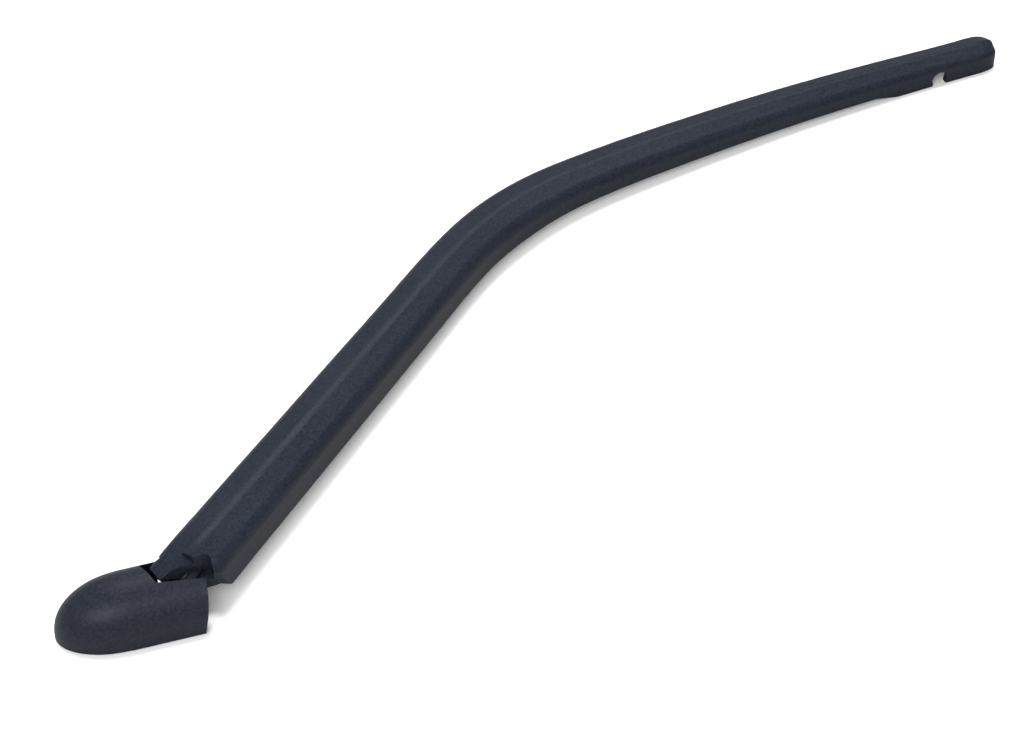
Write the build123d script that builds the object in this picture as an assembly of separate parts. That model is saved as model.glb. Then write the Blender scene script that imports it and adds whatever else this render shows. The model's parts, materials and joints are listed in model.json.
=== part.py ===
from build123d import *
import os
from math import atan2, cos, degrees, hypot, radians, sin

# Plan layout. The spindle axis is the origin, +Z runs up the spindle and +X along the blade seat.
HEAD_TURN = -5.5
ARM_TURN = 38.3
MEET = 23.0
ARM_STRAIGHT = 153.8
ELBOW_RADIUS = 125.0
ELBOW_TURN = 29.7
SWEEP_RADIUS = 900.0
SWEEP_TURN = ARM_TURN - ELBOW_TURN
SEAT_STRAIGHT = 27.0
TAIL = 16.0

# Arm channel, half width, crest height and shoulder height at five places along its length.
ROOT_HALF, ROOT_CREST, ROOT_SHOULDER = 10.0, 21.6, 17.8
ELBOW_HALF, ELBOW_CREST, ELBOW_SHOULDER = 9.3, 16.8, 13.7
MID_HALF, MID_CREST, MID_SHOULDER = 9.4, 15.0, 12.3
BEND_HALF, BEND_CREST, BEND_SHOULDER = 8.6, 13.3, 11.0
SEAT_HALF, SEAT_CREST, SEAT_SHOULDER = 6.5, 9.3, 7.3
ROOT_ROUND, SEAT_ROUND = 4.2, 2.2
WALL_DRAFT = 0.5
WALL = 2.0
ROOF = 2.2
DEEP = 12.0
DIVE_AT, DIVE_SLOPE, DIVE_SHIFT = 8.0, 0.34, 0.15

# Underside of the arm, heights above the plane the arm lies on.
RIM_ROOT_X, RIM_ROOT_Z = 36.0, 6.3
RIM_SEAT_Z = 1.9
SKIRT_RAMP = 9.0
SKIRT_LENGTH = 40.0

# Blade pin seat in the skirts.
PIN_BACK = 23.5
PIN_SEAT_RADIUS = 2.9
PIN_SEAT_Z = 2.4
PIN_MOUTH = 5.2

# Notch between cap and arm, seen from above along the head axis.
NOTCH_APEX = (15.1, -2.2)
NOTCH_FAR = (10.7, 10.0)
NOTCH_END = (65.0, -9.2)
NOTCH_WALL, NOTCH_WALL_END = 8.2, 16.8
NOTCH_WALL_GAP = 1.3
BITE_TURN, BITE_LENGTH, BITE_FLOOR = 18.0, 15.5, 13.8
NOTCH_GAP = 1.4
NOTCH_LEAN = 0.33
NOTCH_GAP_Z = 17.0
TONGUE_FLOOR = 14.6
SWING_RADIUS, SWING_SLOPE, SWING_LIMIT = 8.2, 0.62, 11.4

# Hinge, in the arm's own frame: along the arm, across it and up.
HINGE_ALONG, HINGE_Z = 3.5, 10.5
HINGE_RADIUS = 2.4
EAR_RADIUS = 4.2
CHEEK_RADIUS = 4.5
EAR_NEAR, EAR_FAR = -0.6, 7.2
SLOT_NEAR, SLOT_FAR = 1.8, 4.8
CHEEK_GAP = 0.35
CHEEK_THICK = 2.2
CHEEK_TOP = 14.4
RUN_GAP = 0.05
PRESS_GAP = 0.02

# Spring drive, link pin and spring anchor in the arm's own frame.
LINK_ALONG, LINK_Z = 1.5, 4.4
LINK_PIN_RADIUS = 1.6
LINK_WIRE = 0.9
LINK_GAP = 0.15
LINK_STRAIGHT = 9.0
LINK_RISE = 14.5
RING_AT, RING_RADIUS = 19.0, 2.4
ANCHOR_ALONG, ANCHOR_Z = 75.0, 11.0
ANCHOR_RADIUS = 1.6
SPRING_WIRE = 0.9
SPRING_MEAN = 3.1
SPRING_GAP = 0.05
COIL_START, COIL_END = 26.0, 68.0
COIL_TURNS = 13.25

# Pivot head.
HUB_RADIUS, HUB_HEIGHT = 7.8, 6.2
LEDGE_RADIUS, LEDGE_HEIGHT = 8.7, 4.6
NECK_RADIUS, NECK_HEIGHT = 7.4, 4.6
THROAT_RADIUS, THROAT_LENGTH = 4.2, 4.6
TAPER_RADIUS = 5.2

# Nut cap.
CAP_HALF = 11.2
CAP_NOSE_AT, CAP_NOSE_LENGTH = 5.5, 21.2
CAP_END, CAP_END_LEAN = 26.4, 9.4
CAP_CREST = 17.4
CAP_WALL_TOP = 6.0
CAP_DOME = 0.8
CAP_BOTTOM = 0.6
CAP_SKIN = 1.7
CAP_SEAT_GAP = 0.1
CAP_HUB_GAP = 0.3

# Stiffening ribs.
RIB_FIRST, RIB_STEP, RIB_COUNT = 96.0, 34.0, 7
RIB_THICK = 1.6
RIB_RISE = 2.6

HEAD = Rot(0, 0, HEAD_TURN)
MEET_AT = (MEET * cos(radians(HEAD_TURN)), MEET * sin(radians(HEAD_TURN)), 0)
ARM = Pos(*MEET_AT) * Rot(0, 0, ARM_TURN)


def arm_path():
    """Centre line of the arm seen from above, from behind the hinge to the blade end."""
    run = Vector(cos(radians(ARM_TURN)), sin(radians(ARM_TURN)), 0)
    start = Vector(*MEET_AT) - run * TAIL
    straight = Line(start, start + run * (TAIL + ARM_STRAIGHT))
    elbow = JernArc(straight @ 1, straight % 1, ELBOW_RADIUS, -ELBOW_TURN)
    sweep_arc = JernArc(elbow @ 1, elbow % 1, SWEEP_RADIUS, -SWEEP_TURN)
    seat = Line(sweep_arc @ 1, (sweep_arc @ 1) + Vector(SEAT_STRAIGHT, 0, 0))
    return Wire([straight, elbow, sweep_arc, seat])


PATH = arm_path()
ELBOW_AT = ARM_STRAIGHT
BEND_AT = ELBOW_AT + radians(ELBOW_TURN) * ELBOW_RADIUS
SEAT_AT = BEND_AT + radians(SWEEP_TURN) * SWEEP_RADIUS
TIP_AT = SEAT_AT + SEAT_STRAIGHT
TIP = PATH @ 1


def blend(at, values):
    """Value at a distance along the arm, running straight between the five named places."""
    places = [DIVE_AT, ELBOW_AT, (ELBOW_AT + BEND_AT) / 2, BEND_AT, SEAT_AT]
    if at <= places[0]:
        return values[0]
    for i in range(4):
        if at <= places[i + 1]:
            share = (at - places[i]) / (places[i + 1] - places[i])
            return values[i] + share * (values[i + 1] - values[i])
    return values[4]


def gable(at, inset, roof, shrink=1.0):
    """Closed gable section of the arm at a distance along it, inset by the wall for the inside."""
    half = blend(at, [ROOT_HALF, ELBOW_HALF, MID_HALF, BEND_HALF, SEAT_HALF]) * shrink - inset
    crest = blend(at, [ROOT_CREST, ELBOW_CREST, MID_CREST, BEND_CREST, SEAT_CREST])
    shoulder = blend(at, [ROOT_SHOULDER, ELBOW_SHOULDER, MID_SHOULDER, BEND_SHOULDER, SEAT_SHOULDER])
    behind = max(0.0, DIVE_AT - at)
    drop = roof + (1 - shrink) * SEAT_CREST * 0.35 + behind * DIVE_SLOPE
    crest = crest - drop
    shoulder = shoulder - drop
    soft = blend(at, [ROOT_ROUND, ROOT_ROUND, ROOT_ROUND * 0.9, ROOT_ROUND * 0.8, SEAT_ROUND]) - 0.4 * inset
    centre = PATH.position_at(at + TAIL, position_mode=PositionMode.LENGTH)
    run = PATH.tangent_at(at + TAIL, position_mode=PositionMode.LENGTH)
    left = Vector(-run.Y, run.X, 0)
    plane = Plane(origin=centre + left * behind * DIVE_SHIFT, x_dir=left, z_dir=run)
    outline = FilletPolyline(
        (-half, -DEEP),
        (-half + WALL_DRAFT, shoulder),
        (0, crest),
        (half - WALL_DRAFT, shoulder),
        (half, -DEEP),
        radius=soft * min(1.0, shrink),
        close=True,
    )
    return plane * make_face(outline)


def stations(first, last):
    """Distances along the arm at which sections are placed, closer together round the elbow."""
    inner = [-3.0, 8.0, 19.0, 32.0, 49.0, 72.0, 100.0, 128.0, ELBOW_AT, ELBOW_AT + 16, ELBOW_AT + 32]
    inner += [ELBOW_AT + 48, BEND_AT, BEND_AT + 35, BEND_AT + 75, SEAT_AT - 15, SEAT_AT + 6]
    return [first] + inner + [last]


def channel(inset, roof, last):
    """Solid of the arm's outside or inside, with the crown diving behind the root."""
    return loft([gable(at, inset, roof) for at in stations(2 - TAIL, last)])


def wedge(low, high):
    """Side of the notch that belongs to the cap, grown by low at the bottom and high at the top."""
    back = [(5, 26), (-45, 26), (-45, -45), (65, -45)]
    outline = Polyline(NOTCH_END, NOTCH_APEX, NOTCH_FAR, *back, close=True)
    face = make_face(outline)
    bottom = offset(face, low, kind=Kind.INTERSECTION)
    top = offset(face, high, kind=Kind.INTERSECTION)
    return HEAD * loft([Pos(0, 0, -30) * bottom.face(), Pos(0, 0, 40) * top.face()], ruled=True)


def lean(gap):
    """Notch face of the arm, set back by a gap at the cap's crown and leaning out as it rises."""
    return wedge(gap + NOTCH_LEAN * (NOTCH_GAP_Z + 30), gap + NOTCH_LEAN * (NOTCH_GAP_Z - 40))


def bite(gap):
    """Room in the arm's crown over the cap's near edge, opened about the notch's apex."""
    apex = Vector(*NOTCH_APEX)
    edge = (Vector(*NOTCH_END) - apex).normalized() * BITE_LENGTH
    sector = make_face(Polyline(apex, apex + edge, apex + edge.rotate(Axis.Z, BITE_TURN), close=True))
    return HEAD * (Pos(0, 0, BITE_FLOOR - gap) * extrude(offset(sector, gap), 40))


def far_wall(gap):
    """Side of the notch behind which the cap's far wall runs on to the arm, grown by a gap."""
    length = NOTCH_WALL_END + gap
    return HEAD * (Pos(length - 30, NOTCH_WALL - gap + 15, 0) * Box(60, 30, 80))


def swing_room(inset):
    """What the root must leave free behind the hinge so that the arm can lift past the cap."""
    room = across(Pos(HINGE_ALONG + 0.3 + inset - 20, HINGE_Z + 20) * Rectangle(40, 40), -9, 11)
    low = SWING_RADIUS - 9 * SWING_SLOPE - inset
    flare = Cone(low, low + 20 * SWING_SLOPE, 20)
    keep = ARM * (Pos(HINGE_ALONG, 1, HINGE_Z) * Rot(-90, 0, 0) * flare)
    return room - (keep & cross_bar(HINGE_ALONG, HINGE_Z, SWING_LIMIT - inset, -40, 40))


def across(profile, near, far):
    """Profile drawn along and up the arm, carried across it between two side positions."""
    return ARM * (Pos(0, far, 0) * extrude(Plane.XZ * profile, far - near))


def cross_bar(along, up, radius, near, far):
    """Round bar lying across the arm."""
    return across(Pos(along, up) * Circle(radius), near, far)


def rim_cut(rise, skirt):
    """All that lies under the arm's rim, with the deeper skirts at the blade seat if asked for."""
    slope = (RIM_ROOT_Z - RIM_SEAT_Z) / (TIP.X - SKIRT_LENGTH - RIM_ROOT_X)
    ramp = TIP.X - SKIRT_LENGTH - SKIRT_RAMP
    low = 0.0 if skirt else RIM_SEAT_Z + rise
    start = RIM_ROOT_Z + slope * (RIM_ROOT_X + 40) + rise
    knee = RIM_ROOT_Z - slope * (ramp - RIM_ROOT_X) + rise
    outline = Polyline((-40, -60), (-40, start), (ramp, knee), (ramp + SKIRT_RAMP, low), (TIP.X + 30, low),
                       (TIP.X + 30, -60), close=True)
    return Pos(0, 200, 0) * extrude(Plane.XZ * make_face(outline), 300)


def pin_seat():
    """Snap slot for the blade's cross pin, open at the bottom of the skirts."""
    hole = Pos(0, PIN_SEAT_Z) * Circle(PIN_SEAT_RADIUS)
    mouth = Pos(0, PIN_SEAT_Z / 2 - 5) * Rectangle(PIN_MOUTH, PIN_SEAT_Z + 10)
    return Pos(TIP.X - PIN_BACK, TIP.Y + 30, 0) * extrude(Plane.XZ * (hole + mouth), 60)


def arm_beam():
    """Moulded channel with a gable crown, open underneath, with skirts at the blade end."""
    body = channel(0, 0, TIP_AT - 8)
    nose = loft([gable(TIP_AT - 8 + step, 0, 0, size) for step, size in
                 [(0, 1.0), (3.5, 0.97), (6.0, 0.88), (7.4, 0.74), (8, 0.55)]])
    outer = body + nose - lean(NOTCH_GAP) - bite(NOTCH_GAP) - swing_room(0) - far_wall(NOTCH_WALL_GAP)
    inner = channel(WALL, ROOF, TIP_AT - 4) - lean(NOTCH_GAP + WALL) - bite(NOTCH_GAP + WALL)
    inner = inner - swing_room(WALL) - far_wall(NOTCH_WALL_GAP + WALL)
    shell = outer - inner
    plug = outer - rim_cut(RIB_RISE, False)
    ribs = []
    for i in range(RIB_COUNT):
        at = RIB_FIRST + RIB_STEP * i
        centre = PATH.position_at(at + TAIL, position_mode=PositionMode.LENGTH)
        run = PATH.tangent_at(at + TAIL, position_mode=PositionMode.LENGTH)
        place = Location(Plane(origin=centre, x_dir=run, z_dir=(0, 0, 1)))
        ribs.append(plug & place * Box(RIB_THICK, 40, 60))
    cheek = make_hull([*(Pos(HINGE_ALONG, HINGE_Z) * Circle(CHEEK_RADIUS)).edges(),
                       *(Pos(HINGE_ALONG, 24) * Rectangle(2 * CHEEK_RADIUS, 2)).edges()])
    knuckle = Pos(HINGE_ALONG, HINGE_Z) * Circle(CHEEK_RADIUS) & Pos(0, CHEEK_TOP - 30) * Rectangle(60, 60)
    near = outer & across(cheek, EAR_NEAR - CHEEK_GAP - CHEEK_THICK, EAR_NEAR - CHEEK_GAP)
    near = near + across(knuckle, EAR_NEAR - CHEEK_GAP - CHEEK_THICK, EAR_NEAR - CHEEK_GAP)
    far = outer & across(cheek, EAR_FAR + CHEEK_GAP, ROOT_HALF)
    anchor = outer & cross_bar(ANCHOR_ALONG, ANCHOR_Z, ANCHOR_RADIUS + 1.8, 4.6, ROOT_HALF)
    anchor_near = outer & cross_bar(ANCHOR_ALONG, ANCHOR_Z, ANCHOR_RADIUS + 1.8, -ROOT_HALF, -5.6)
    shell = shell + near + far + anchor + anchor_near
    for rib in ribs:
        shell = shell + rib
    floor = TONGUE_FLOOR
    under = Polyline((-40, -40), (11, -40), (11, RIM_ROOT_Z - 0.3), (-2.5, floor), (-40, floor), close=True)
    behind = across(make_face(under), -40, 40)
    behind = behind - cross_bar(HINGE_ALONG, HINGE_Z, CHEEK_RADIUS, -40, 40)
    shell = shell - behind - rim_cut(0, True) - pin_seat()
    room = Pos(HINGE_ALONG, HINGE_Z) * Circle(EAR_RADIUS + CHEEK_GAP)
    room = room + Pos(HINGE_ALONG + EAR_RADIUS - 14.6, HINGE_Z - 15) * Rectangle(30, 30)
    shell = shell - across(room, EAR_NEAR - CHEEK_GAP, EAR_FAR + CHEEK_GAP)
    hinge_near = EAR_NEAR - CHEEK_GAP - CHEEK_THICK + 0.6
    shell = shell - cross_bar(HINGE_ALONG, HINGE_Z, HINGE_RADIUS + RUN_GAP, hinge_near, 30)
    shell = shell - cross_bar(ANCHOR_ALONG, ANCHOR_Z, ANCHOR_RADIUS + PRESS_GAP, -7.4, 30)
    return shell


def pivot_head():
    """Cast head with the tapered spindle seat, a low neck and a pair of hinge ears."""
    ledge = Pos(0, 0, LEDGE_HEIGHT / 2) * Cylinder(LEDGE_RADIUS, LEDGE_HEIGHT)
    hub = Pos(0, 0, HUB_HEIGHT / 2) * Cylinder(HUB_RADIUS, HUB_HEIGHT)
    post = ARM * Pos(LINK_ALONG - 2.0, (EAR_NEAR + EAR_FAR) / 2, 0)
    foot = Pos(*post.position) * Circle(NECK_RADIUS)
    neck = extrude(make_hull([*Circle(NECK_RADIUS).edges(), *foot.edges()]), NECK_HEIGHT)
    eye = Pos(HINGE_ALONG, HINGE_Z) * Circle(EAR_RADIUS)
    base = Pos(HINGE_ALONG - 0.6, 1.5) * Rectangle(8.0, 3.0)
    ears = across(make_hull([*eye.edges(), *base.edges()]), EAR_NEAR, EAR_FAR)
    slot = across(Pos(LINK_ALONG - 4.7 + 20, 8) * Rectangle(40, 40), SLOT_NEAR, SLOT_FAR)
    body = ledge + hub + neck + ears - slot
    body = body - cross_bar(HINGE_ALONG, HINGE_Z, HINGE_RADIUS + PRESS_GAP, -30, 30)
    body = body - cross_bar(LINK_ALONG, LINK_Z, LINK_PIN_RADIUS + PRESS_GAP, -30, 30)
    taper = HUB_HEIGHT - THROAT_LENGTH
    body = body - Pos(0, 0, taper / 2) * Cone(TAPER_RADIUS, THROAT_RADIUS, taper)
    return body - Pos(0, 0, HUB_HEIGHT / 2) * Cylinder(THROAT_RADIUS, HUB_HEIGHT)


def hinge_pin():
    """Steel pin pressed through the ears, running in the arm's cheeks."""
    near = EAR_NEAR - CHEEK_GAP - CHEEK_THICK + 0.9
    return cross_bar(HINGE_ALONG, HINGE_Z, HINGE_RADIUS, near, ROOT_HALF - 0.7)


def link_pin():
    """Short steel pin across the ears that takes the spring's pull."""
    return cross_bar(LINK_ALONG, LINK_Z, LINK_PIN_RADIUS, EAR_NEAR + 0.2, EAR_FAR - 0.2)


def anchor_pin():
    """Steel pin across the channel that holds the far end of the spring."""
    return cross_bar(ANCHOR_ALONG, ANCHOR_Z, ANCHOR_RADIUS, -7.2, 8.3)


PULL_TILT = degrees(atan2(ANCHOR_Z - LINK_Z, ANCHOR_ALONG - LINK_ALONG))
PULL_LENGTH = hypot(ANCHOR_Z - LINK_Z, ANCHOR_ALONG - LINK_ALONG)
PULL = ARM * Pos(LINK_ALONG, (SLOT_NEAR + SLOT_FAR) / 2, LINK_Z) * Rot(0, -PULL_TILT, 0)


def wire(path, radius, sides):
    """Wire of a regular many-sided section along a path."""
    start = Plane(origin=path @ 0, z_dir=path % 0)
    return sweep(start * RegularPolygon(radius, sides), path=path, is_frenet=True)


def spring_link():
    """Bent wire hook from the link pin to the spring, with a ring at the spring's end."""
    bow = LINK_PIN_RADIUS + LINK_GAP + LINK_WIRE
    hook = ThreePointArc((0, 0, bow), (-bow, 0, 0), (0, 0, -bow))
    low = Line((0, 0, -bow), (LINK_STRAIGHT, 0, -bow))
    rise = Spline((LINK_STRAIGHT, 0, -bow), (LINK_RISE, 0, 0), tangents=((1, 0, 0), (1, 0, 0)))
    shank = Line((LINK_RISE, 0, 0), (RING_AT - RING_RADIUS, 0, 0))
    path = Wire([hook, low, rise, shank])
    rod = sweep(Plane(origin=path @ 0, z_dir=path % 0) * Circle(LINK_WIRE), path=path)
    ring = Pos(RING_AT, 0, 0) * Rot(90, 0, 0) * Torus(RING_RADIUS, LINK_WIRE)
    return PULL * (rod + ring)


def tension_spring():
    """Extension spring, stretched as fitted, with a hook at each end."""
    bend = RING_AT + RING_RADIUS - LINK_WIRE - SPRING_WIRE - SPRING_GAP
    front = bend + SPRING_MEAN
    back = PULL_LENGTH + ANCHOR_RADIUS + SPRING_WIRE + SPRING_GAP - SPRING_MEAN
    span = COIL_END - COIL_START
    coil = Pos(0, 0, COIL_START) * Helix(span / COIL_TURNS, span, SPRING_MEAN)
    fore = Wire([
        Line((-SPRING_MEAN, 0, front + 2), (-SPRING_MEAN, 0, front)),
        ThreePointArc((-SPRING_MEAN, 0, front), (0, 0, bend), (SPRING_MEAN, 0, front)),
        Line((SPRING_MEAN, 0, front), (SPRING_MEAN, 0, COIL_START + SPRING_WIRE)),
    ])
    aft = Wire([
        Line((0, SPRING_MEAN, COIL_END - SPRING_WIRE), (0, SPRING_MEAN, back)),
        ThreePointArc((0, SPRING_MEAN, back), (0, 0, back + SPRING_MEAN), (0, -SPRING_MEAN, back)),
        Line((0, -SPRING_MEAN, back), (0, -SPRING_MEAN, back - 2)),
    ])
    body = wire(coil, SPRING_WIRE, 6) + wire(fore, SPRING_WIRE, 8) + wire(aft, SPRING_WIRE, 8)
    upright = Plane(origin=(0, 0, 0), x_dir=(0, 1, 0), z_dir=(1, 0, 0))
    return PULL * (upright * body)


def cap_section(inset, size):
    """Whole section of the cap, wall and crown, shrunk towards the nose."""
    half = (CAP_HALF - inset) * size
    crest = (CAP_CREST - inset) * size**CAP_DOME
    top = CAP_WALL_TOP * size**CAP_DOME
    right = Spline((half, top), (0, crest), tangents=((0, 1), (-1, 0)), tangent_scalars=(1.25, 1.25))
    left = Spline((0, crest), (-half, top), tangents=((-1, 0), (0, -1)), tangent_scalars=(1.25, 1.25))
    rest = Polyline((-half, top), (-half, -4), (half, -4), (half, top))
    return make_face([right, left, *rest.edges()])


def cap_body(inset, end):
    """Bullet shape, a rounded nose that falls away and a straight run along the head axis."""
    reach = CAP_NOSE_LENGTH - inset
    steps = []
    for turn in (0, 18, 36, 53, 68, 80, 87):
        place = Plane.YZ.offset(CAP_NOSE_AT - reach * sin(radians(turn)))
        steps.append(place * cap_section(inset, cos(radians(turn))))
    nose = loft(steps)
    return nose + extrude(Plane.YZ.offset(CAP_NOSE_AT) * cap_section(inset, 1.0), end - CAP_NOSE_AT)


def nut_cap():
    """Clip-fit cap over the spindle nut, cut back in an L for the arm."""
    solid = cap_body(0, CAP_END + 6)
    shell = solid - cap_body(CAP_SKIN, CAP_END + 9)
    shell = shell - Pos(CAP_END, 0, 0) * Rot(0, CAP_END_LEAN, 0) * Pos(30, 0, 0) * Box(60, 80, 120)
    seat = LEDGE_HEIGHT + CAP_SEAT_GAP
    reach = HUB_RADIUS + CAP_HUB_GAP
    webs = Pos(0, 15 + reach, seat + 2) * Box(2.0, 30, 4) + Pos(0, -15 - reach, seat + 2) * Box(2.0, 30, 4)
    webs = webs + Pos(-15 - reach, 0, seat + 1.2) * Box(30, 1.6, 2.4)
    shell = shell + (solid & webs)
    shell = HEAD * shell - Pos(0, 0, CAP_BOTTOM - 10) * Box(200, 200, 20)
    return shell & (wedge(0, 0) + far_wall(0))


if __name__ == "__main__":
    os.makedirs("parts", exist_ok=True)
    parts = {
        "arm_beam": arm_beam,
        "pivot_head": pivot_head,
        "hinge_pin": hinge_pin,
        "link_pin": link_pin,
        "spring_link": spring_link,
        "tension_spring": tension_spring,
        "anchor_pin": anchor_pin,
        "nut_cap": nut_cap,
    }
    for name, make in parts.items():
        shape = make()
        print(name, len(shape.solids()), round(shape.volume, 1), shape.is_valid)
        export_step(shape, "parts/" + name + ".step")
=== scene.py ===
"""Looks of a dog-leg rear wiper arm: black grained mouldings over a sprung steel hinge."""

import json
import logging
from dataclasses import dataclass
from enum import Enum

import bpy
import numpy as np
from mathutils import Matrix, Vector


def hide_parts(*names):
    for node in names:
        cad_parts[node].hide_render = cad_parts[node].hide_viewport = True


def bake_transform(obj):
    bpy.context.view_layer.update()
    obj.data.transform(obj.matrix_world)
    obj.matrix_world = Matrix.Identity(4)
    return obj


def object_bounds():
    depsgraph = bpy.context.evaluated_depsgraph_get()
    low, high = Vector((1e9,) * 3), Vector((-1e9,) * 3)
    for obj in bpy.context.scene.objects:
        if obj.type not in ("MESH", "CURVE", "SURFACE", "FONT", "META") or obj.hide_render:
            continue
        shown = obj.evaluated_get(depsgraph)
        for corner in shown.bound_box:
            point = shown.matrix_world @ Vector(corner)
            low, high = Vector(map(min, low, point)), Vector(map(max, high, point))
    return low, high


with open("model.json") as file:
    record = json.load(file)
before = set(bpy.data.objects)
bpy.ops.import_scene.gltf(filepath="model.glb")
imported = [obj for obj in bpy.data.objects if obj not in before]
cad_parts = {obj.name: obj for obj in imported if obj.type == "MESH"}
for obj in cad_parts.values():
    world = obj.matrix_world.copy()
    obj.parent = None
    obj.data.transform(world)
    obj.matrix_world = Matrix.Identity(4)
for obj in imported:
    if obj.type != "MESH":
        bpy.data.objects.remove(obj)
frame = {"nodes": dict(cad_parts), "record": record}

LOG = logging.getLogger("wiper_arm")
MM = 0.001
CAD_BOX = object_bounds()
JOINTS = {joint["name"]: joint for joint in frame["record"]["behaviour"]["joints"]}
Point = tuple[float, float, float]
Span = tuple[float, float]


class Value:
    """One shader output that takes part in Python arithmetic."""

    def __init__(self, graph: "Graph", socket: bpy.types.NodeSocket) -> None:
        """Keeps the graph that owns the socket and the socket itself."""
        self.graph = graph
        self.socket = socket

    def _math(self, operation: str, first: object, second: object) -> "Value":
        """Adds a Math node on two values or numbers.

        Args:
            operation: Blender's name of the operation.
            first: Left operand.
            second: Right operand.

        Returns:
            The node's result.
        """
        return self.graph.node("ShaderNodeMath", {"operation": operation}, {0: first, 1: second})

    def __add__(self, other: object) -> "Value":
        """Sum with a value or number."""
        return self._math("ADD", self, other)

    def __sub__(self, other: object) -> "Value":
        """Difference with a value or number."""
        return self._math("SUBTRACT", self, other)

    def __rsub__(self, other: object) -> "Value":
        """Difference of a number and this value."""
        return self._math("SUBTRACT", other, self)

    def __mul__(self, other: object) -> "Value":
        """Product with a value or number."""
        return self._math("MULTIPLY", self, other)

    __radd__ = __add__
    __rmul__ = __mul__


@dataclass(frozen=True)
class Pattern:
    """One noise: cells per metre, octaves, share of the fine ones, factor on each axis.

    The limits are the noise values that a mask made from it shows as 0 and as 1.
    """

    scale: float
    detail: float = 2.0
    rough: float = 0.5
    stretch: Point = (1.0, 1.0, 1.0)
    limits: Span = (0.0, 1.0)


@dataclass(frozen=True)
class Relief:
    """Bump of a surface: its strength, and its depth in metres."""

    strength: float
    depth: float


class Graph:
    """Node tree of one material or world, filled from Python expressions."""

    def __init__(self, owner: bpy.types.Material | bpy.types.World) -> None:
        """Starts with an empty tree.

        Args:
            owner: Material or world that the tree belongs to.
        """
        owner.use_nodes = True
        self.owner = owner
        self.tree = owner.node_tree
        self.tree.nodes.clear()

    def node(
        self, kind: str, settings: dict | None = None, inputs: dict | None = None, out: int | str = 0
    ) -> Value | None:
        """Adds any node, sets it up and links or fills its inputs.

        Args:
            kind: Blender's node type.
            settings: Properties set before the inputs.
            inputs: Input index or name to a Value or a constant.
            out: Output index or name that is returned.

        Returns:
            The chosen output, or None where the node has no outputs.
        """
        made = self.tree.nodes.new(kind)
        for key, value in (settings or {}).items():
            setattr(made, key, value)
        for key, value in (inputs or {}).items():
            if isinstance(value, Value):
                self.tree.links.new(value.socket, made.inputs[key])
            else:
                made.inputs[key].default_value = value
        return Value(self, made.outputs[out]) if made.outputs else None

    def noise(self, pattern: Pattern) -> Value:
        """Noise on Object coordinates.

        Args:
            pattern: Scale, octaves and stretch of the noise.

        Returns:
            A value around 0.5.
        """
        place = self.node("ShaderNodeTexCoord", out="Object")
        place = self.node("ShaderNodeMapping", {}, {"Vector": place, "Scale": pattern.stretch})
        inputs = {"Vector": place, "Scale": pattern.scale}
        inputs |= {"Detail": pattern.detail, "Roughness": pattern.rough}
        return self.node("ShaderNodeTexNoise", {}, inputs)

    def ramp(self, value: Value, limits: Span) -> Value:
        """Value clipped and smoothly stretched so that the limits give 0 and 1."""
        settings = {"interpolation_type": "SMOOTHSTEP"}
        inputs = {"Value": value, "From Min": limits[0], "From Max": limits[1]}
        return self.node("ShaderNodeMapRange", settings, inputs)

    def mask(self, pattern: Pattern) -> Value:
        """Noise stretched between the pattern's limits."""
        return self.ramp(self.noise(pattern), pattern.limits)

    def mix(self, share: Value, first: object, second: object) -> Value:
        """Mix of two colours by a share."""
        return self.node("ShaderNodeMix", {"data_type": "RGBA"}, {0: share, 6: first, 7: second}, 2)

    def principled(self, sockets: dict[str, object], height: Value, relief: Relief) -> bpy.types.Material:
        """Closes a material with a principled surface.

        Args:
            sockets: Input name to a Value or a constant.
            height: Height that the bump follows.
            relief: Strength and depth of the bump.

        Returns:
            The material.
        """
        raised = {"Strength": relief.strength, "Distance": relief.depth, "Height": height}
        bump = self.node("ShaderNodeBump", {}, raised)
        return self.surface(self.node("ShaderNodeBsdfPrincipled", {}, {**sockets, "Normal": bump}))

    def surface(self, shader: Value) -> bpy.types.Material | bpy.types.World:
        """Closes the tree with a shader and gives its owner."""
        target = "World" if isinstance(self.owner, bpy.types.World) else "Material"
        self.node("ShaderNodeOutput" + target, {}, {"Surface": shader})
        return self.owner


def opaque(colour: Point, gain: float = 1.0, lift: float = 0.0) -> tuple[float, float, float, float]:
    """Colour times a gain plus a lift, with full alpha."""
    return tuple(channel * gain + lift for channel in colour) + (1.0,)


class Tone(Enum):
    """Black mouldings, which differ a little in their pigment."""

    ARM = (0.0135, 0.0180, 0.0285)
    CAP = (0.0145, 0.0175, 0.0270)


class Metal(Enum):
    """Metals of the hidden drive, as colour and roughness."""

    PIN = ((0.50, 0.50, 0.51), 0.30)
    WIRE = ((0.34, 0.34, 0.35), 0.36)


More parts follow.
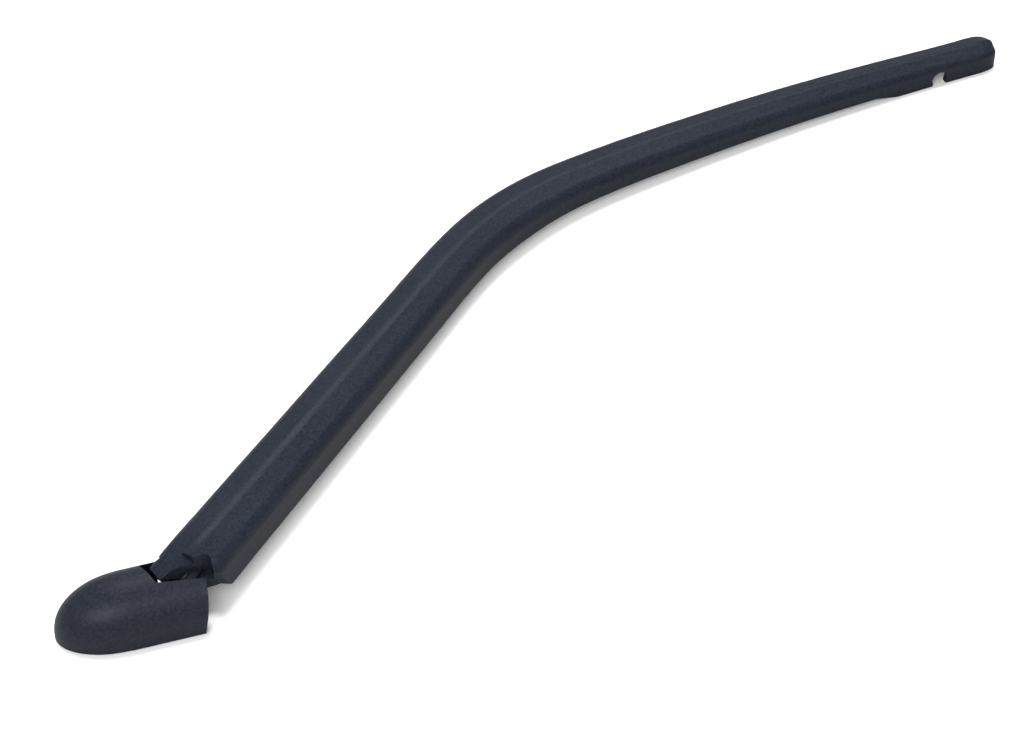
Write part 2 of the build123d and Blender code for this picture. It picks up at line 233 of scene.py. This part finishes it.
@dataclass(frozen=True)
class GrainedPlastic:
    """Black moulding with a fine spark-eroded grain, a little cloudy, dusty and scuffed."""

    tone: Tone
    roughness: float = 0.46
    gloss: float = 0.18
    fine: Pattern = Pattern(1100.0, 3.0, 0.6, limits=(0.38, 0.62))
    coarse: Pattern = Pattern(341.0)
    cloud: Pattern = Pattern(42.0, 3.0, 0.55, limits=(0.3, 0.7))
    dust: Pattern = Pattern(900.0, 4.0, 0.7, limits=(0.62, 0.8))
    scuff: Pattern = Pattern(160.0, stretch=(1.0, 5.0, 1.0), limits=(0.66, 0.74))
    relief: Relief = Relief(0.55, 0.00011)
    fine_height: float = 0.7
    coarse_height: float = 0.5
    low_gain: float = 0.68
    high_gain: float = 1.3
    pale_gain: float = 1.9
    speck_share: float = 0.75
    cloud_share: float = 0.25
    dust_share: float = 0.5
    scuff_share: float = 0.12
    cloud_rough: float = 0.06
    fine_rough: float = 0.12
    scuff_polish: float = 0.05

    def material(self) -> bpy.types.Material:
        """Builds the material.

        Returns:
            A dark plastic whose grain, clouds, dust and scuffs come from noise on Object coordinates.
        """
        graph = Graph(bpy.data.materials.new("grained_" + self.tone.name.lower()))
        fine, coarse = graph.noise(self.fine), graph.noise(self.coarse)
        clouds, scuff = graph.mask(self.cloud), graph.mask(self.scuff)
        dust = graph.mask(self.dust) * clouds
        speck = graph.ramp(fine, self.fine.limits)
        low, high, pale = (
            opaque(self.tone.value, gain) for gain in (self.low_gain, self.high_gain, self.pale_gain)
        )
        base = graph.mix(speck * self.speck_share + clouds * self.cloud_share, low, high)
        base = graph.mix(dust * self.dust_share + scuff * self.scuff_share, base, pale)
        rough = self.roughness + (clouds - 0.5) * self.cloud_rough + (fine - 0.5) * self.fine_rough
        rough = rough - scuff * self.scuff_polish
        height = fine * self.fine_height + coarse * self.coarse_height
        sockets = {"Base Color": base, "Roughness": rough, "Specular IOR Level": self.gloss}
        return graph.principled(sockets, height, self.relief)


@dataclass(frozen=True)
class DullMetal:
    """Bare or plated metal with faint drawing lines and dull patches."""

    metal: Metal
    patch: Pattern = Pattern(220.0, 3.0, 0.6, limits=(0.35, 0.7))
    line: Pattern = Pattern(1400.0, 2.0, 0.6, (1.0, 1.0, 0.3))
    relief: Relief = Relief(0.4, 0.00002)
    dark_gain: float = 0.72
    dull_rough: float = 0.14
    line_rough: float = 0.1

    def material(self) -> bpy.types.Material:
        """Builds the material.

        Returns:
            A metal with uneven colour and roughness.
        """
        colour, roughness = self.metal.value
        graph = Graph(bpy.data.materials.new("metal_" + self.metal.name.lower()))
        patches, lines = graph.mask(self.patch), graph.noise(self.line)
        base = graph.mix(patches, opaque(colour, self.dark_gain), opaque(colour))
        rough = roughness + (1.0 - patches) * self.dull_rough + (lines - 0.5) * self.line_rough
        sockets = {"Base Color": base, "Roughness": rough, "Metallic": 1.0}
        return graph.principled(sockets, lines, self.relief)


@dataclass(frozen=True)
class BlackCoat:
    """Black coat on a casting, uneven in gloss and a little dusty."""

    colour: Point = (0.020, 0.020, 0.022)
    roughness: float = 0.46
    gloss: float = 0.4
    pit: Pattern = Pattern(1900.0, 3.0, 0.6)
    patch: Pattern = Pattern(180.0, 3.0, 0.6, limits=(0.35, 0.7))
    dust: Pattern = Pattern(700.0, 4.0, 0.7, limits=(0.6, 0.8))
    relief: Relief = Relief(0.5, 0.00004)
    pale_gain: float = 1.8
    pale_lift: float = 0.006
    dust_share: float = 0.6
    patch_rough: float = 0.12

    def material(self) -> bpy.types.Material:
        """Builds the material.

        Returns:
            A black coat with fine pits, uneven gloss and paler dust.
        """
        graph = Graph(bpy.data.materials.new("black_coat"))
        patches = graph.mask(self.patch)
        dust = graph.mask(self.dust) * patches
        pale = opaque(self.colour, self.pale_gain, self.pale_lift)
        base = graph.mix(dust * self.dust_share, opaque(self.colour), pale)
        rough = self.roughness + (patches - 0.5) * self.patch_rough
        sockets = {"Base Color": base, "Roughness": rough, "Specular IOR Level": self.gloss}
        return graph.principled(sockets, graph.noise(self.pit), self.relief)


def dress(node: str, material: bpy.types.Material) -> None:
    """Gives a CAD node its material.

    Args:
        node: Name of the node.
        material: Material for all of its faces.
    """
    data = frame["nodes"][node].data
    data.materials.clear()
    data.materials.append(material)
    LOG.info("dressed %s with %s", node, material.name)


def grid_object(name: str, points: np.ndarray, closed_round: bool, capped: bool) -> bpy.types.Object:
    """Mesh object from a grid of points.

    Args:
        name: Name of the piece.
        points: Array of rows, columns and xyz, in metres.
        closed_round: Whether the last column joins the first.
        capped: Whether the first and last row are closed by a face each.

    Returns:
        The smooth-shaded object, linked to the scene.
    """
    rows, columns = points.shape[:2]
    index = np.arange(rows * columns).reshape(rows, columns)
    right = np.roll(index, -1, axis=1) if closed_round else index[:, 1:]
    left = index if closed_round else index[:, :-1]
    quads = np.stack([left[:-1], right[:-1], right[1:], left[1:]], axis=-1).reshape(-1, 4)
    faces = quads.tolist()
    if capped:
        faces += [index[0, ::-1].tolist(), index[-1].tolist()]
    mesh = bpy.data.meshes.new(name)
    mesh.from_pydata(points.reshape(-1, 3).tolist(), [], faces)
    mesh.polygons.foreach_set("use_smooth", np.ones(len(faces), dtype=bool))
    mesh.update()
    made = bpy.data.objects.new(name, mesh)
    bpy.context.scene.collection.objects.link(made)
    return made


@dataclass
class ArmMoulding:
    """The long channel and the pin that anchors the spring in it."""

    finish: GrainedPlastic = GrainedPlastic(Tone.ARM)
    pin: DullMetal = DullMetal(Metal.PIN)

    def build(self) -> None:
        """Dresses the arm's nodes."""
        dress("arm_beam", self.finish.material())
        dress("anchor_pin", self.pin.material())


@dataclass
class NutCap:
    """The bullet-shaped cap over the spindle nut."""

    finish: GrainedPlastic = GrainedPlastic(Tone.CAP)

    def build(self) -> None:
        """Dresses the cap's node."""
        dress("nut_cap", self.finish.material())


@dataclass
class PivotHead:
    """The casting on the spindle with its two pins."""

    casting: BlackCoat = BlackCoat()
    pin: DullMetal = DullMetal(Metal.PIN)

    def build(self) -> None:
        """Dresses the head's nodes."""
        steel = self.pin.material()
        dress("pivot_head", self.casting.material())
        dress("hinge_pin", steel)
        dress("link_pin", steel)


@dataclass
class SpringDrive:
    """The wire link and the extension spring, laid out along the line of pull in millimetres.

    The foot is the pin that the link swings on, and the pull is the way that the spring stretches.
    """

    foot: Point = tuple(measure / MM for measure in JOINTS["link_swing"]["pos_m"])
    pull: Point = tuple(JOINTS["spring_stretch"]["axis"])
    wire_radius: float = 0.9
    coil_radius: float = 3.1
    coil_start: float = 26.0
    coil_end: float = 68.0
    turns: float = 13.25
    hook_front: float = 21.65
    hook_back: float = 73.25
    hook_tail: float = 2.0
    turn_points: int = 44
    arc_points: int = 40
    tail_points: int = 5
    lead_points: int = 10
    lead_span: Span = (0.1, 0.9)
    rounding: tuple[float, ...] = (0.1, 0.22, 0.36, 0.22, 0.1)
    round_sides: int = 14
    finish: DullMetal = DullMetal(Metal.WIRE)

    def axes(self) -> np.ndarray:
        """Three unit rows: across the pull, up from it, and along it."""
        along = np.array(self.pull) / np.linalg.norm(self.pull)
        across = np.array([-along[1], along[0], 0.0])
        across /= np.linalg.norm(across)
        return np.stack([across, np.cross(along, across), along])

    def place(self, local: np.ndarray) -> np.ndarray:
        """Local across, up and along in millimetres to the part's frame in metres."""
        return (np.array(self.foot) + local @ self.axes()) * MM

    @staticmethod
    def stretch_of(across: np.ndarray | float, up: np.ndarray | float, along: np.ndarray) -> np.ndarray:
        """Rows of across, up and along, with a single number repeated."""
        return np.stack(np.broadcast_arrays(across, up, along), axis=1)

    def centre_line(self) -> np.ndarray:
        """Line of the wire: hook, straight, helix, straight, hook.

        The helix is (radius cos a, radius sin a, start + rise a); each hook is a half circle of the coil's
        radius that ends in a short tail. A running mean rounds the bends between the stretches.

        Returns:
            Points as across, up and along, in millimetres.
        """
        radius = self.coil_radius
        arc = np.linspace(0.0, np.pi, self.arc_points)
        tail = np.linspace(self.hook_tail, 0.0, self.tail_points, endpoint=False)
        first = self.stretch_of(-radius, 0.0, self.hook_front + tail)
        front = self.stretch_of(-radius * np.cos(arc), 0.0, self.hook_front - radius * np.sin(arc))
        turn = np.linspace(0.0, 2 * np.pi * self.turns, int(self.turn_points * self.turns))
        rise = np.linspace(self.coil_start, self.coil_end, turn.size)
        helix = self.stretch_of(radius * np.cos(turn), radius * np.sin(turn), rise)
        back = self.stretch_of(0.0, radius * np.cos(arc), self.hook_back + radius * np.sin(arc))
        last = self.stretch_of(0.0, -radius, self.hook_back - tail[::-1])
        share = np.linspace(*self.lead_span, self.lead_points)[:, None]
        lead = front[-1] + (helix[0] - front[-1]) * share
        leave = helix[-1] + (back[0] - helix[-1]) * share
        line = np.concatenate([first, front, lead, helix, leave, back, last])
        reach = len(self.rounding) // 2
        padded = np.pad(line, ((reach, reach), (0, 0)), mode="edge")
        return np.stack([np.convolve(column, self.rounding, mode="valid") for column in padded.T], axis=1)

    def wire_surface(self) -> np.ndarray:
        """Round section carried along the centre line.

        At each point the section's first axis is the way from the nearest point of the spring's axis, held
        between the two hooks' centres, made square to the line; the second is square to both.

        Returns:
            Grid of points in the part's frame, in metres.
        """
        line = self.centre_line()
        heading = np.gradient(line, axis=0)
        heading /= np.linalg.norm(heading, axis=1, keepdims=True)
        core = np.zeros_like(line)
        core[:, 2] = np.clip(line[:, 2], self.hook_front, self.hook_back)
        outward = line - core
        outward -= heading * np.sum(outward * heading, axis=1, keepdims=True)
        outward /= np.linalg.norm(outward, axis=1, keepdims=True)
        side = np.cross(heading, outward)
        turn = np.linspace(0.0, 2 * np.pi, self.round_sides, endpoint=False)
        ring = np.cos(turn)[None, :, None] * outward[:, None] + np.sin(turn)[None, :, None] * side[:, None]
        return self.place(line[:, None] + self.wire_radius * ring)

    def build(self) -> None:
        """Makes the round-wire spring and dresses the link."""
        steel = self.finish.material()
        dress("spring_link", steel)
        spring = grid_object("spring_coil", self.wire_surface(), True, True)
        spring.data.materials.append(steel)
        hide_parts("tension_spring")
        ends = self.place(np.array([[0.0, 0.0, self.coil_start], [0.0, 0.0, self.coil_end]]))
        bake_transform(spring)
        LOG.info("built spring_coil with %d faces", len(spring.data.polygons))


@dataclass(frozen=True)
class Lamp:
    """A soft rectangular lamp: place and size in millimetres, and power in watts."""

    name: str
    place: Point
    size: Span
    watts: float


@dataclass
class Studio:
    """White floor, soft light and the camera, in millimetres.

    The sun's spread is in degrees and its strength in watts on a square metre. The sky's strength goes from
    horizon to zenith, which it reaches where a ray's direction has the height sky_top.
    """

    target: Point = (147.6, 50.7, 0.0)
    eye: Point = (-79.7, -498.0, 615.0)
    lens: float = 94.9
    sensor: float = 36.0
    sight: float = 50000.0
    floor_size: float = 60000.0
    floor_white: float = 0.90
    floor_bounce: float = 0.48
    floor_lift: float = 0.10
    zenith: float = 0.46
    horizon: float = 0.18
    sky_top: float = 0.9
    sun_place: Point = (200.0, 410.0, 1450.0)
    sun_spread: float = 14.0
    sun_strength: float = 1.9
    ridge_strip: Lamp = Lamp("ridge_strip", (488.0, 875.0, 1213.0), (900.0, 140.0), 9.0)
    front_fill: Lamp = Lamp("front_fill", (-500.0, -700.0, 900.0), (900.0, 900.0), 13.0)

    def floor_material(self) -> bpy.types.Material:
        """White floor that keeps shadows, lifted for camera, glossy and transmission rays.

        Returns:
            A floor that the camera sees white, and that throws less light back up than it shows.
        """
        graph = Graph(bpy.data.materials.new("floor_white"))
        rays = ("Is Camera Ray", "Is Glossy Ray", "Is Transmission Ray")
        camera, glossy, through = (graph.node("ShaderNodeLightPath", out=ray) for ray in rays)
        grey, white = (opaque((share,) * 3) for share in (self.floor_bounce, self.floor_white))
        paint = graph.node("ShaderNodeBsdfDiffuse", {}, {"Color": graph.mix(camera, grey, white)})
        lift = (camera + glossy + through) * self.floor_lift
        glow = graph.node("ShaderNodeEmission", {}, {"Strength": lift})
        return graph.surface(graph.node("ShaderNodeAddShader", {}, {0: paint, 1: glow}))

    def floor(self) -> None:
        """Lays the flat square floor under the part's lowest point."""
        half = self.floor_size / 2 * MM
        span = np.linspace(-half, half, 2)
        flat = np.stack([*np.meshgrid(span, span), np.zeros((2, 2))], axis=-1)
        floor = grid_object("floor", flat, False, False)
        floor.location.z = min(corner[2] for corner in CAD_BOX)
        floor.data.materials.append(self.floor_material())

    def sky(self) -> None:
        """Sets a plain white world, brighter overhead than at the horizon."""
        graph = Graph(bpy.data.worlds.new("sky"))
        way = graph.node("ShaderNodeTexCoord", out="Generated")
        height = graph.node("ShaderNodeSeparateXYZ", {}, {"Vector": way}, "Z")
        rise = {"Value": height, "From Max": self.sky_top, "To Min": self.horizon, "To Max": self.zenith}
        strength = graph.node("ShaderNodeMapRange", {}, rise)
        white = {"Color": (1.0, 1.0, 1.0, 1.0), "Strength": strength}
        bpy.context.scene.world = graph.surface(graph.node("ShaderNodeBackground", {}, white))

    def aim(self, data: bpy.types.Light | bpy.types.Camera, place: Point) -> bpy.types.Object:
        """Adds a light or a camera that faces the middle of the arm.

        Args:
            data: The light or camera.
            place: Where it stands, in millimetres.

        Returns:
            Its object, linked to the scene.
        """
        made = bpy.data.objects.new(data.name, data)
        made.location = Vector(place) * MM
        made.rotation_euler = (Vector(self.target) - Vector(place)).to_track_quat("-Z", "Y").to_euler()
        bpy.context.scene.collection.objects.link(made)
        return made

    def hang(self, lamp: Lamp) -> None:
        """Adds one soft rectangular lamp.

        Args:
            lamp: Its name, place, size and power.
        """
        data = bpy.data.lights.new(lamp.name, "AREA")
        data.shape = "RECTANGLE"
        data.size, data.size_y = (side * MM for side in lamp.size)
        data.energy = lamp.watts
        self.aim(data, lamp.place)

    def daylight(self) -> None:
        """Adds the even light from above, which glossy surfaces don't mirror."""
        data = bpy.data.lights.new("daylight", "SUN")
        data.angle = np.radians(self.sun_spread)
        data.energy = self.sun_strength
        self.aim(data, self.sun_place).visible_glossy = False

    def camera(self) -> None:
        """Adds the camera at the photograph's viewing angle."""
        data = bpy.data.cameras.new("camera")
        data.lens = self.lens
        data.sensor_width = self.sensor
        data.clip_end = self.sight * MM
        bpy.context.scene.camera = self.aim(data, self.eye)

    def build(self) -> None:
        """Builds floor, world, lamps and camera."""
        self.floor()
        self.sky()
        self.daylight()
        self.hang(self.ridge_strip)
        self.hang(self.front_fill)
        self.camera()
        bpy.context.scene.view_settings.view_transform = "Standard"


def main() -> None:
    """Builds the sub-assemblies in order."""
    for assembly in (ArmMoulding(), NutCap(), PivotHead(), SpringDrive(), Studio()):
        assembly.build()
        LOG.info("finished %s", type(assembly).__name__)


if __name__ == "__main__":
    logging.basicConfig(level=logging.INFO)
    main()
